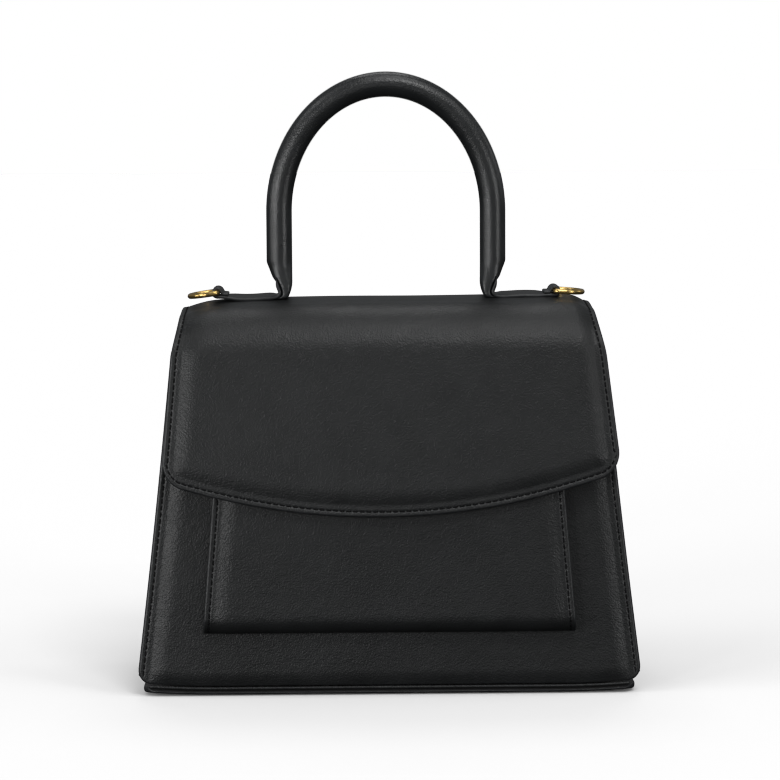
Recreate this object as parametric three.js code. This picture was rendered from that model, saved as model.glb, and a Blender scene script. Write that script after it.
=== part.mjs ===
// A small structured top-handle bag in smooth black leather, with a full flap over a front pocket.
// Millimetres, +Z up, the front faces -Y, the base stands on Z = 0.
import * as THREE from 'three';

// Body
const baseWidth = 237.6;
const mouthWidth = 201.6;
const baseDepth = 90;
const mouthDepth = 59;
const bodyHeight = 184;
const mouthRoom = 0.5;
const panelWaist = 0.6;
const panelThickness = 2.4;
const panelPad = 1.5;
const panelBorder = 5.5;
const panelCornerRadius = 7;
const mouthCornerRadius = 11;
const padBevel = 5;
const leatherGap = 0.3;

// Base and its piped seams
const seamHeight = 4.6;
const endLift = 1.6;
const levelLength = 160;
const levelDepth = 74;
const baseThickness = 2.5;
const baseEdgeThickness = 0.9;
const baseEdgeLift = 0.8;
const baseEndInset = 3;
const baseEdgeInset = 1;
const baseCornerRadius = 8;
const skiveWidth = 4;
const weltRadius = 0.8;
const weltEndInset = 6;

// Side gussets
const gussetThickness = 1.8;
const gussetInset = 7.5;
const gussetBend = 2;
const gussetDrop = 4;
const gussetDip = 5;
const gussetFoldTop = 14;
const gussetFoldBase = 3;

// Front pocket
const pocketBottomWidth = 174.6;
const pocketTopWidth = 160.2;
const pocketBottom = 29.8;
const pocketHeight = 90.2;
const pocketStand = 9;
const pocketCurl = 8.5;
const pocketThickness = 1.8;
const pocketPad = 1;
const pocketBorder = 4.5;
const pocketGussetThickness = 1.1;
const pocketGussetInset = 4;
const pocketGussetBend = 1.2;
const pocketGussetFold = 2.5;

// Flap
const flapThickness = 2;
const flapPad = 1.5;
const flapBorder = 5.5;
const flapSetback = 0.1;
const flapTopTuck = 1.6;
const flapFrontRoll = 24;
const flapBackRoll = 11;
const flapLean = THREE.MathUtils.degToRad(10);
const flapTip = 85.4;
const flapSweep = 19;
const flapCornerRadius = 10;
const flapBackLength = 15;
const flapCrown = 1.2;
const flapDroop = 1.8;
const flapLevelWidth = 156;
const flapSkew = THREE.MathUtils.degToRad(1);

// Magnetic snap between the flap and the pocket
const snapHeight = 100;
const snapRadius = 6;
const snapSpace = 2.1;

// Rolled handle and its two end tabs
const handleSpan = 102;
const handleShoulder = 41.2;
const handleRise = 60.5;
const handleRadius = 6;
const footTaper = 14.5;
const footThickness = 6.4;
const footWidth = 15;
const footTuck = 2.1;
const footTuckRise = 8;
const tabThickness = 1.4;
const tabWidth = 15;
const tabReach = 29.5;
const tabReturn = 5.2;
const tabBend = 2;
const tabLeaf = 7;
const tabLoopStart = THREE.MathUtils.degToRad(112);

// D-rings
const wireRadius = 1.15;
const ringDepth = 13.4;
const ringShank = 4;
const ringTiltLeft = THREE.MathUtils.degToRad(8);
const ringTiltRight = THREE.MathUtils.degToRad(3.5);

// Numbers of steps
const panelColumns = 5;
const panelRows = 6;
const rollSteps = 6;
const flapRows = 5;
const archSteps = 18;
const rodSides = 10;
const wireSides = 8;
const ringSteps = 10;
const loopSteps = 8;
const bendSteps = 4;

// Heights and levels that follow from the sizes
const flapLevel = bodyHeight - flapCrown - flapPad;
const panelTop = flapLevel - flapBackRoll - mouthRoom;
const gussetTop = panelTop - gussetDrop;
const pocketTop = pocketBottom + pocketHeight;
const tabLevel = bodyHeight + leatherGap + tabThickness / 2;
const loopRadius = wireRadius + leatherGap + tabThickness / 2;
const barHeight = tabLevel + loopRadius;
const tabUpper = tabLevel + tabThickness + leatherGap;
const foldHeight = tabLevel + tabBend;
const footLean = Math.atan((2 * handleRadius - footThickness) / footTaper);
const leafLength = tabLeaf + (tabThickness / 2) * Math.tan(footLean);
const leafTop = foldHeight + tabBend * Math.sin(footLean) + leafLength * Math.cos(footLean) + leatherGap;
const barReach = handleSpan / 2 + tabReach;

const leather = { color: 0x1b1d1e, roughness: 0.48, metalness: 0 };
const lining = { color: 0x141516, roughness: 0.7, metalness: 0 };
const gold = { color: 0xd9a441, roughness: 0.22, metalness: 1 };
const steel = { color: 0x9a9a98, roughness: 0.3, metalness: 1 };

const { lerp, clamp, smoothstep } = THREE.MathUtils;

// Share of the way from 0 to 1, eased at both ends
function ease(share) {
  return smoothstep(share, 0, 1);
}

// A closed mesh with its faces turned outwards, whichever way its rows run
function closedGeometry(points, triangles) {
  let volume = 0;
  for (const [a, b, c] of triangles) {
    volume += points[a].dot(points[b].clone().cross(points[c]));
  }
  const turned = volume < 0 ? triangles.map(([a, b, c]) => [a, c, b]) : triangles;
  const geometry = new THREE.BufferGeometry().setFromPoints(points);
  geometry.setIndex(turned.flat());
  geometry.computeVertexNormals();
  return geometry;
}

// A leather sheet between two grids of points of the same size, closed round its rim
function sheetGeometry(face, back) {
  const rows = face.length;
  const columns = face[0].length;
  const half = rows * columns;
  const triangles = [];
  const quad = (a, b, c, d) => triangles.push([a, b, c], [a, c, d]);
  for (let row = 0; row < rows - 1; row += 1) {
    for (let column = 0; column < columns - 1; column += 1) {
      const a = row * columns + column;
      const d = a + columns;
      quad(a, a + 1, d + 1, d);
      quad(half + a, half + d, half + d + 1, half + a + 1);
    }
  }
  const rim = (a, b) => quad(b, a, half + a, half + b);
  for (let column = 0; column < columns - 1; column += 1) {
    const high = (rows - 1) * columns + column;
    rim(column, column + 1);
    rim(high + 1, high);
  }
  for (let row = 0; row < rows - 1; row += 1) {
    const left = row * columns;
    const right = left + columns - 1;
    rim(left + columns, left);
    rim(right, right + columns);
  }
  return closedGeometry([...face.flat(), ...back.flat()], triangles);
}

// A path moved sideways by a distance, its corners kept sharp
function offsetPath(path, distance) {
  const last = path.length - 1;
  return path.map((point, i) => {
    const before = path[Math.max(i - 1, 0)];
    const after = path[Math.min(i + 1, last)];
    const leaving = (i < last ? after.clone().sub(point) : point.clone().sub(before)).normalize();
    const arriving = (i > 0 ? point.clone().sub(before) : leaving.clone()).normalize();
    const sideways = new THREE.Vector2(-arriving.y, arriving.x);
    const normal = new THREE.Vector2(-arriving.y - leaving.y, arriving.x + leaving.x).normalize();
    return point.clone().addScaledVector(normal, distance / normal.dot(sideways));
  });
}

// A rod round a path in the X-Z plane; size(i) gives its reach to each side of the path and along Y
function rodGeometry(path, size, sides, closed) {
  const count = path.length;
  const at = i => path[closed ? (i + count) % count : clamp(i, 0, count - 1)];
  const points = path.flatMap((point, i) => {
    const along = at(i + 1).clone().sub(at(i - 1)).normalize();
    const { left, right, half } = size(i);
    return Array.from({ length: sides }, (_, side) => {
      const angle = (2 * Math.PI * (side + 0.5)) / sides;
      const across = (left - right) / 2 + (Math.cos(angle) * (left + right)) / 2;
      const x = point.x - along.y * across;
      const z = point.y + along.x * across;
      return new THREE.Vector3(x, half * Math.sin(angle), z);
    });
  });
  const triangles = [];
  for (let ring = 0; ring < (closed ? count : count - 1); ring += 1) {
    for (let side = 0; side < sides; side += 1) {
      const a = ring * sides + side;
      const b = ring * sides + ((side + 1) % sides);
      const c = ((ring + 1) % count) * sides + ((side + 1) % sides);
      const d = ((ring + 1) % count) * sides + side;
      triangles.push([a, b, c], [a, c, d]);
    }
  }
  const end = (count - 1) * sides;
  for (let side = 1; !closed && side < sides - 1; side += 1) {
    triangles.push([0, side + 1, side], [end, end + side, end + side + 1]);
  }
  return closedGeometry(points, triangles);
}

// Lines across a piece of a given half width: at fixed insets from both edges, even in between
function linesAcross(insets, middle) {
  const last = insets[insets.length - 1];
  const left = insets.map(inset => half => inset - half);
  const right = [...insets].reverse().map(inset => half => half - inset);
  const inner = Array.from({ length: middle - 1 }, (_, i) => {
    return half => (half - last) * ((2 * (i + 1)) / middle - 1);
  });
  return [...left, ...inner, ...right];
}

// Levels from low to high, with some close to each end
function levels(low, high, nearLow, nearHigh, middle) {
  const start = low + nearLow[nearLow.length - 1];
  const stop = high - nearHigh[nearHigh.length - 1];
  const lowLevels = nearLow.map(rise => low + rise);
  const highLevels = [...nearHigh].reverse().map(drop => high - drop);
  const inner = Array.from({ length: middle - 1 }, (_, i) => lerp(start, stop, (i + 1) / middle));
  return [...lowLevels, ...inner, ...highLevels];
}

// How far a round corner lies inside a square one, at an inset from the side
function cornerRise(inset, radius) {
  const short = clamp(radius - inset, 0, radius);
  return radius - Math.sqrt(radius ** 2 - short ** 2);
}

// Share of the full padding at some distance from an edge
function padShare(distance, border) {
  return ease((distance - border) / padBevel);
}

function bodyShare(z) {
  return (z - seamHeight) / (panelTop - seamHeight);
}

function panelHalfWidth(z) {
  const waist = panelWaist * Math.sin(Math.PI * clamp(bodyShare(z), 0, 1));
  return lerp(baseWidth, mouthWidth, bodyShare(z)) / 2 - waist;
}

// From the middle plane to the outer face of the front or back panel
function panelReach(z) {
  return lerp(baseDepth, mouthDepth, bodyShare(z)) / 2;
}

// Rise of the lower seam where the base turns up towards its ends
function endRise(x) {
  const past = Math.max(Math.abs(x) - levelLength / 2, 0);
  return endLift * (past / ((baseWidth - levelLength) / 2)) ** 2;
}

function panelLow(x) {
  const inset = baseWidth / 2 - Math.abs(x);
  return seamHeight + endRise(x) + cornerRise(inset, panelCornerRadius);
}

function panelHigh(x) {
  return panelTop - cornerRise(mouthWidth / 2 - Math.abs(x), mouthCornerRadius);
}

// Front or back panel: a padded field inside a flat border; the back one stays flat under the flap
function panelGeometry(side, topBorder) {
  const insets = [0, 0.15, 0.45, 1].map(share => share * panelBorder);
  const bevel = [0.5, 1].map(share => panelBorder + share * padBevel);
  const columns = linesAcross([...insets, ...bevel], panelColumns);
  const nearLow = [0, 0.3, 0.6, 1].map(share => share * padBevel);
  const nearHigh = [0, topBorder, topBorder + padBevel];
  const rows = levels(seamHeight, panelTop, nearLow, nearHigh, panelRows);
  const grid = reach => rows.map(level => columns.map(column => {
    const low = panelLow(column(baseWidth / 2));
    const high = panelHigh(column(mouthWidth / 2));
    const z = lerp(low, high, bodyShare(level));
    const half = panelHalfWidth(z);
    const x = column(half);
    const sides = padShare(half - Math.abs(x), panelBorder);
    const rise = panelPad * sides * padShare(z - low, 0) * padShare(panelTop - z, topBorder);
    return new THREE.Vector3(x, side * reach(z, rise), z);
  }));
  const face = grid((z, rise) => panelReach(z) + rise);
  const back = grid(z => panelReach(z) - panelThickness);
  return sheetGeometry(face, back);
}

const baseHalfDepth = baseDepth / 2 - baseEdgeInset;

// Underside of the base: level in the middle, turned up at the ends and round the edges
function baseUnder(x, y) {
  const past = Math.max(Math.abs(y) - levelDepth / 2, 0);
  return endRise(x) + baseEdgeLift * (past / (baseHalfDepth - levelDepth / 2)) ** 2;
}

function baseUpper(x, y) {
  const skived = ease((Math.abs(y) - (baseHalfDepth - skiveWidth)) / skiveWidth);
  return baseUnder(x, y) + lerp(baseThickness, baseEdgeThickness, skived);
}

function basePanelGeometry() {
  const columns = linesAcross([0, 0.12, 0.4, 1].map(share => share * (baseWidth - levelLength) / 2), 4);
  const nearEdge = [0, 0.25, 0.6, 1].map(share => share * (baseHalfDepth - levelDepth / 2));
  const rows = levels(-baseHalfDepth, baseHalfDepth, nearEdge, nearEdge, 3);
  const grid = height => rows.map(y => columns.map(column => {
    const end = baseWidth / 2 - baseEndInset - cornerRise(baseHalfDepth - Math.abs(y), baseCornerRadius);
    const x = column(end);
    return new THREE.Vector3(x, y, height(x, y));
  }));
  return sheetGeometry(grid(baseUnder), grid(baseUpper));
}

// Piping in the seam between a panel and the base, following the panel's lower edge
function weltGeometry() {
  const insets = [0.12, 0.25, 0.45, 0.7, 1].map(share => weltEndInset + share * panelCornerRadius);
  const past = (baseWidth - levelLength) / 4;
  const columns = linesAcross([weltEndInset, ...insets, past], 4);
  const edge = columns.map(column => {
    const x = column(baseWidth / 2);
    return new THREE.Vector2(x, panelLow(x));
  });
  const path = offsetPath(edge, -leatherGap - weltRadius);
  const size = () => ({ left: weltRadius, right: weltRadius, half: weltRadius });
  return rodGeometry(path, size, wireSides, false);
}

// A folded strip that joins two facing edges: a flange along each, and a wall folded in between
function gussetGeometry({ rows, side, edge, near, far, low, high, inset, bend, fold, thickness }) {
  const section = z => {
    const rim = edge(z) - leatherGap;
    const wall = edge(z) - inset;
    const from = near(z) + thickness / 2;
    const to = far(z) - thickness / 2;
    const middle = (from + to) / 2;
    const deep = wall - fold(z);
    return [
      [rim, from],
      [wall + bend, from],
      [wall, from + bend],
      [lerp(wall, deep, 0.5), lerp(from, middle, 0.6)],
      [deep, middle],
      [lerp(wall, deep, 0.5), lerp(to, middle, 0.6)],
      [wall, to - bend],
      [wall + bend, to],
      [rim, to],
    ].map(([x, y]) => new THREE.Vector2(x, y));
  };
  const grid = distance => rows.map(share => {
    const guess = offsetPath(section(lerp(low(0, 0), high(0, 0), share)), distance);
    return guess.map((point, i) => {
      const z = lerp(low(point.x, point.y), high(point.x, point.y), share);
      const { x, y } = offsetPath(section(z), distance)[i];
      return new THREE.Vector3(side * x, y, z);
    });
  });
  return sheetGeometry(grid(thickness / 2), grid(-thickness / 2));
}

function sideGussetGeometry(side) {
  const inner = z => panelReach(z) - panelThickness - leatherGap;
  return gussetGeometry({
    rows: [0, 0.06, 0.15, 0.3, 0.45, 0.6, 0.8, 1],
    side,
    edge: panelHalfWidth,
    near: z => -inner(z),
    far: inner,
    low: (x, y) => Math.max(baseUpper(x, y), panelLow(x)) + leatherGap,
    high: (x, y) => {
      const dip = gussetDip * ease(1 - Math.abs(y) / inner(gussetTop));
      return Math.min(gussetTop - dip, panelHigh(x) - leatherGap);
    },
    inset: gussetInset,
    bend: gussetBend,
    fold: z => lerp(gussetFoldBase, gussetFoldTop, ease(bodyShare(z))),
    thickness: gussetThickness,
  });
}

function pocketHalfWidth(z) {
  return lerp(pocketBottomWidth, pocketTopWidth, (z - pocketBottom) / pocketHeight) / 2;
}

// From the middle plane to the padded face of the front panel, behind the pocket
function pocketGround(z) {
  return panelReach(z) + panelPad + leatherGap;
}

// Front of the pocket: its foot curls back to the panel, its top edge stays free
function pocketFaceGeometry() {
  const insets = [0, 0.5, 1].map(share => share * pocketBorder);
  const columns = linesAcross([...insets, pocketBorder + padBevel / 2, pocketBorder + padBevel], 4);
  const turns = [0, 0.25, 0.5, 0.75].map(share => ({ turn: (share * Math.PI) / 2, rise: 0 }));
  const straight = levels(0, pocketHeight - pocketCurl, [0, padBevel], [0, padBevel], 4);
  const rows = [...turns, ...straight.map(rise => ({ turn: Math.PI / 2, rise }))];
  const grid = (cut, padded) => rows.map(({ turn, rise }) => columns.map(column => {
    const z = pocketBottom + pocketCurl - (pocketCurl - cut) * Math.cos(turn) + rise;
    const half = pocketHalfWidth(z);
    const x = column(half);
    const sides = padShare(half - Math.abs(x), pocketBorder);
    const pad = padded * pocketPad * sides * Math.sin(turn);
    const stand = (pocketStand - leatherGap - cut) * Math.sin(turn) + pad;
    return new THREE.Vector3(x, -pocketGround(z) - stand, z);
  }));
  return sheetGeometry(grid(0, 1), grid(pocketThickness, 0));
}

function pocketGussetGeometry(side) {
  const low = pocketBottom + 0.6 * pocketCurl;
  const curl = z => {
    const short = clamp((pocketBottom + pocketCurl - z) / (pocketCurl - pocketThickness), 0, 1);
    return Math.sqrt(1 - short ** 2);
  };
  const depth = z => (pocketStand - leatherGap - pocketThickness) * curl(z) - leatherGap;
  return gussetGeometry({
    rows: [0, 0.04, 0.1, 0.4, 0.7, 1],
    side,
    edge: pocketHalfWidth,
    near: z => -pocketGround(z) - depth(z),
    far: z => -pocketGround(z),
    low: () => low,
    high: () => pocketTop - 2 * pocketBorder,
    inset: pocketGussetInset,
    bend: pocketGussetBend,
    fold: () => pocketGussetFold,
    thickness: pocketGussetThickness,
  });
}

// Distance from the middle plane to the flap's outer border face at the snap
const panelLean = Math.atan((baseDepth - mouthDepth) / 2 / (panelTop - seamHeight));
const pocketFront = pocketGround(snapHeight) + pocketStand - leatherGap + pocketPad;
const flapFront = pocketFront + snapSpace + flapThickness / Math.cos(flapLean);

function flapHalfWidth(z) {
  const tuck = flapTopTuck * ease((z - (flapLevel - flapFrontRoll)) / flapFrontRoll);
  return panelHalfWidth(z) - flapSetback - tuck;
}

// Stations along the flap's outer border face, from its end on the back panel to its front
function flapStations() {
  const backFace = z => panelReach(z) + leatherGap + flapThickness;
  const frontFace = z => -flapFront + (z - snapHeight) * Math.tan(flapLean);
  const backCentre = flapLevel - flapBackRoll;
  const frontCentre = flapLevel - flapFrontRoll;
  const backY = backFace(backCentre) - flapBackRoll / Math.cos(panelLean);
  const frontY = frontFace(frontCentre) + flapFrontRoll / Math.cos(flapLean);
  const onRoll = (y, z, radius, angle) => ({
    y: y + radius * Math.cos(angle),
    z: z + radius * Math.sin(angle),
    ny: Math.cos(angle),
    nz: Math.sin(angle),
  });
  const stations = [];
  const backEnd = panelTop - flapBackLength;
  for (const share of [0, 0.35]) {
    const z = lerp(backEnd, backCentre, share);
    stations.push({ y: backFace(z), z, ny: Math.cos(panelLean), nz: Math.sin(panelLean) });
  }
  for (let i = 0; i <= rollSteps - 2; i += 1) {
    const angle = lerp(panelLean, Math.PI / 2, i / (rollSteps - 2));
    stations.push(onRoll(backY, backCentre, flapBackRoll, angle));
  }
  for (const share of [0.2, 0.4, 0.6, 0.8]) {
    const crown = flapCrown * (1 - (2 * share - 1) ** 2);
    stations.push({ y: lerp(backY, frontY, share), z: flapLevel + crown, ny: 0, nz: 1 });
  }
  for (let i = 0; i <= rollSteps; i += 1) {
    const angle = lerp(Math.PI / 2, Math.PI - flapLean, i / rollSteps);
    stations.push(onRoll(frontY, frontCentre, flapFrontRoll, angle));
  }
  return stations;
}

// Height of the flap's lower edge: a shallow arc between two round corners
function flapLow(x, half) {
  const radius = (half ** 2 + flapSweep ** 2) / (2 * flapSweep);
  const arc = radius - Math.sqrt(radius ** 2 - x ** 2);
  return flapTip + arc + cornerRise(half - Math.abs(x), flapCornerRadius);
}

// How far the flap's level top sinks at some distance from the middle
function flapSink(x) {
  const room = flapHalfWidth(flapLevel) - flapLevelWidth / 2;
  return flapDroop * (Math.max(Math.abs(x) - flapLevelWidth / 2, 0) / room) ** 2;
}

// The flap, hanging a little askew: its right side higher, its tip swung to the right
function flapGeometry() {
  const insets = [0, 0.15, 0.45, 1].map(share => share * flapBorder);
  const columns = linesAcross([...insets, flapBorder + padBevel / 2, flapBorder + padBevel], 6);
  const stations = flapStations();
  const hinge = stations[stations.length - 1];
  const backEnd = stations[0].z;
  const lowerHalf = flapHalfWidth(flapTip + flapSweep);
  const nearTip = [0, 0.5, 1].map(share => share * flapBorder);
  const place = (column, station, drop, cut, padded) => {
    const x0 = column(lowerHalf);
    const low = flapLow(x0, lowerHalf) + x0 * Math.tan(flapSkew);
    const length = (hinge.z - low) / Math.cos(flapLean);
    const s = drop(length);
    const z0 = station.z - s * Math.cos(flapLean);
    const half = flapHalfWidth(z0);
    const x = column(half);
    const tip = station === hinge ? length - s : Infinity;
    const sides = padShare(half - Math.abs(x), flapBorder);
    const foot = station.y > 0 ? padShare(station.z - backEnd, flapBorder) : 1;
    const rise = padded * flapPad * sides * foot * padShare(tip, flapBorder);
    const y = station.y - s * Math.sin(flapLean) + (rise - cut) * station.ny;
    const z = z0 + (rise - cut) * station.nz - flapSink(x) * Math.max(station.nz, 0);
    const swing = station.y > 0 ? 0 : Math.max(flapLevel - z0, 0) * Math.tan(flapSkew);
    return new THREE.Vector3(x + swing, y, z);
  };
  const fixed = stations.map(station => ({ station, drop: () => 0 }));
  const free = Array.from({ length: flapRows }, (_, i) => ({
    station: hinge,
    drop: length => ((length - flapBorder - padBevel) * (i + 1)) / flapRows,
  }));
  const edge = [...nearTip, flapBorder + padBevel / 2].reverse().map(inset => ({
    station: hinge,
    drop: length => length - inset,
  }));
  const rows = [...fixed, ...free, ...edge];
  const grid = (cut, padded) => rows.map(({ station, drop }) => {
    return columns.map(column => place(column, station, drop, cut, padded));
  });
  return sheetGeometry(grid(0, 1), grid(flapThickness, 0));
}

// One half of the hidden magnetic snap, a plain disc between the flap and the pocket
function snapGeometry() {
  const wedge = (flapLean - panelLean) / 2;
  const thickness = snapSpace - 2 * leatherGap - 2 * snapRadius * Math.tan(wedge);
  return new THREE.CylinderGeometry(snapRadius, snapRadius, thickness, 24);
}

// Middle line of the handle, from the foot on the left over the arch to the foot on the right
function handlePath() {
  const foot = bodyHeight + leatherGap;
  const tucks = [0, 0.35, 1].map(share => foot + share * footTuckRise);
  const heights = [...tucks, leafTop, leafTop + tabThickness, foldHeight + footTaper];
  const left = heights.map(z => new THREE.Vector2(-handleSpan / 2, z));
  const arch = Array.from({ length: archSteps + 1 }, (_, i) => {
    const angle = Math.PI * (1 - i / archSteps);
    const x = (handleSpan / 2) * Math.cos(angle);
    return new THREE.Vector2(x, bodyHeight + handleShoulder + handleRise * Math.sin(angle));
  });
  const right = [...left].reverse().map(point => new THREE.Vector2(-point.x, point.y));
  return [...left, ...arch, ...right];
}

// Reach of the handle's outer side from its middle line: it slopes in towards the foot
function footOuter(z) {
  const rise = clamp(z - foldHeight, 0, footTaper);
  return footThickness - handleRadius + rise * Math.tan(footLean);
}

// Reach of the handle's inner side: it tucks in where the foot meets the flap
function footInner(z) {
  const share = clamp(1 - (z - bodyHeight - leatherGap) / footTuckRise, 0, 1);
  return handleRadius - footTuck * share ** 2;
}

// The handle narrows towards its feet, where the leaf of the end tab lies against its outer side
function handleGeometry() {
  const path = handlePath();
  const size = i => {
    const z = path[i].y;
    const leaf = z > leafTop ? 0 : (tabThickness + leatherGap) / Math.cos(footLean);
    const spread = ease((foldHeight + footTaper - z) / footTaper);
    const half = lerp(handleRadius, footWidth / 2, spread);
    return { left: footOuter(z) - leaf, right: footInner(z), half };
  };
  return rodGeometry(path, size, rodSides, false);
}

// Middle line of an end tab: from its end on top, round the ring's bar, back under and up beside the foot
function tabPath() {
  const path = [new THREE.Vector2(barReach - tabReturn, tabUpper)];
  for (let i = 0; i <= loopSteps; i += 1) {
    const angle = lerp(tabLoopStart, -Math.PI / 2, i / loopSteps);
    const x = barReach + loopRadius * Math.cos(angle);
    path.push(new THREE.Vector2(x, barHeight + loopRadius * Math.sin(angle)));
  }
  const faceX = handleSpan / 2 + footOuter(foldHeight) - tabThickness / 2 / Math.cos(footLean);
  const bendX = faceX + tabBend / Math.cos(footLean);
  for (let i = 0; i <= bendSteps; i += 1) {
    const angle = -Math.PI / 2 - ((Math.PI / 2 + footLean) * i) / bendSteps;
    const x = bendX + tabBend * Math.cos(angle);
    path.push(new THREE.Vector2(x, foldHeight + tabBend * Math.sin(angle)));
  }
  const leaf = new THREE.Vector2(Math.sin(footLean), Math.cos(footLean)).multiplyScalar(tabLeaf);
  path.push(path[path.length - 1].clone().add(leaf));
  return path;
}

function tabGeometry() {
  const path = tabPath();
  const outline = [
    ...offsetPath(path, tabThickness / 2),
    ...offsetPath(path, -tabThickness / 2).reverse(),
  ];
  const geometry = new THREE.ExtrudeGeometry(new THREE.Shape(outline), {
    depth: tabWidth,
    bevelEnabled: false,
  });
  return geometry.rotateX(Math.PI / 2).translate(0, tabWidth / 2, 0);
}

// A D-shaped ring of round wire, its straight bar on the Y axis and its bow towards +X
function ringGeometry() {
  const half = tabWidth / 2 + 2 * leatherGap + wireRadius;
  const path = [new THREE.Vector2(0, -half), new THREE.Vector2(0, half)];
  for (let i = 0; i <= ringSteps; i += 1) {
    const angle = Math.PI / 2 - (Math.PI * i) / ringSteps;
    const x = ringShank + (ringDepth - ringShank) * Math.cos(angle);
    path.push(new THREE.Vector2(x, half * Math.sin(angle)));
  }
  const size = () => ({ left: wireRadius, right: wireRadius, half: wireRadius });
  return rodGeometry(path, size, wireSides, true).rotateX(-Math.PI / 2);
}

const parts = new THREE.Group();

function add(name, geometry, finish) {
  const mesh = new THREE.Mesh(geometry, new THREE.MeshStandardMaterial(finish));
  mesh.name = name;
  parts.add(mesh);
  return mesh;
}

function addBody() {
  add('front_panel', panelGeometry(-1, panelBorder), leather);
  add('back_panel', panelGeometry(1, flapBackLength + panelBorder), leather);
  add('base_panel', basePanelGeometry(), leather);
  add('gusset_left', sideGussetGeometry(-1), leather);
  add('gusset_right', sideGussetGeometry(1), leather);
  const weltReach = baseDepth / 2 - weltRadius;
  add('welt_front', weltGeometry(), leather).position.y = -weltReach;
  add('welt_back', weltGeometry(), leather).position.y = weltReach;
}

function addPocket() {
  add('pocket_face', pocketFaceGeometry(), leather);
  add('pocket_gusset_left', pocketGussetGeometry(-1), lining);
  add('pocket_gusset_right', pocketGussetGeometry(1), lining);
}

function addFlap() {
  add('flap', flapGeometry(), leather);
  const snap = add('snap_disc', snapGeometry(), steel);
  snap.position.set(0, -pocketFront - snapSpace / 2, snapHeight);
  snap.rotation.x = -(flapLean + panelLean) / 2;
}

function addHandle() {
  add('handle', handleGeometry(), leather);
  for (const [name, turn, tilt] of [['right', 0, ringTiltRight], ['left', Math.PI, ringTiltLeft]]) {
    add(`tab_${name}`, tabGeometry(), leather).rotation.z = turn;
    const side = new THREE.Group();
    side.rotation.z = turn;
    const ring = add(`ring_${name}`, ringGeometry(), gold);
    ring.position.set(barReach, 0, barHeight);
    ring.rotation.y = tilt;
    side.add(ring);
    parts.add(side);
  }
}

addBody();
addPocket();
addFlap();
addHandle();

// The origin lies under the middle of the whole bag's box
const middle = new THREE.Box3().setFromObject(parts).getCenter(new THREE.Vector3());
parts.position.y = -middle.y;

const bag = new THREE.Group();
bag.add(parts);

export default bag;
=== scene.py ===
import math

import bpy
import numpy as np
from mathutils import Matrix, Vector


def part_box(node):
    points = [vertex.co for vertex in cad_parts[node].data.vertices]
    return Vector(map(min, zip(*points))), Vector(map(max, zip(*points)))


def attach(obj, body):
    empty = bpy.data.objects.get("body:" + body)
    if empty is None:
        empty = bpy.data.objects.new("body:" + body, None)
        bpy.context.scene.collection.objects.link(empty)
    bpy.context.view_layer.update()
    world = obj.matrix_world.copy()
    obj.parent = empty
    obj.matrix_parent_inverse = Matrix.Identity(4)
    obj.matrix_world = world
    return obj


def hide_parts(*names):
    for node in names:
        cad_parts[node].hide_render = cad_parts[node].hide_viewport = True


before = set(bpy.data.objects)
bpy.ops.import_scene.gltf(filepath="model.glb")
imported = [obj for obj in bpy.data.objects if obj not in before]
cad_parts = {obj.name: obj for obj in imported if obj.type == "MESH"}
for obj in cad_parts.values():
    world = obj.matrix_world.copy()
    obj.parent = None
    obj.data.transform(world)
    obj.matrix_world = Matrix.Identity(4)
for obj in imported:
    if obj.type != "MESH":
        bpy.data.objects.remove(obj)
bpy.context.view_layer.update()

# A small structured top-handle bag in smooth black leather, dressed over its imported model.
# Shapes are worked out in millimetres from the bag's middle plane and turned to metres at the end.
MM = 0.001
handle_low, handle_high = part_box("handle")
MIDDLE_Y = (handle_low[1] + handle_high[1]) / 2

# Body
BASE_WIDTH = 237.6
MOUTH_WIDTH = 201.6
BASE_DEPTH = 90.0
MOUTH_DEPTH = 59.0
BODY_HEIGHT = 184.0
MOUTH_ROOM = 0.5
PANEL_WAIST = 0.6
PANEL_THICKNESS = 2.4
PANEL_PAD = 1.5
PANEL_BORDER = 5.5
PANEL_CORNER_RADIUS = 7.0
MOUTH_CORNER_RADIUS = 11.0
PAD_BEVEL = 7.5
LEATHER_GAP = 0.3

# Base and its piped seams
SEAM_HEIGHT = 4.6
END_LIFT = 1.6
LEVEL_LENGTH = 160.0
LEVEL_DEPTH = 74.0
BASE_THICKNESS = 2.5
BASE_EDGE_THICKNESS = 0.9
BASE_EDGE_LIFT = 0.8
BASE_END_INSET = 3.0
BASE_EDGE_INSET = 1.0
BASE_CORNER_RADIUS = 8.0
SKIVE_WIDTH = 4.0
WELT_RADIUS = 0.8
WELT_END_INSET = 6.0

# Side gussets
GUSSET_THICKNESS = 1.8
GUSSET_INSET = 7.5
GUSSET_BEND = 2.0
GUSSET_DROP = 4.0
GUSSET_DIP = 5.0
GUSSET_FOLD_TOP = 14.0
GUSSET_FOLD_BASE = 3.0

# Front pocket
POCKET_BOTTOM_WIDTH = 174.6
POCKET_TOP_WIDTH = 160.2
POCKET_BOTTOM = 29.8
POCKET_HEIGHT = 90.2
POCKET_STAND = 9.0
POCKET_CURL = 8.5
POCKET_THICKNESS = 1.8
POCKET_PAD = 1.0
POCKET_BORDER = 4.5
POCKET_GUSSET_THICKNESS = 1.1
POCKET_GUSSET_INSET = 4.0
POCKET_GUSSET_BEND = 1.2
POCKET_GUSSET_FOLD = 2.5

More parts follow.
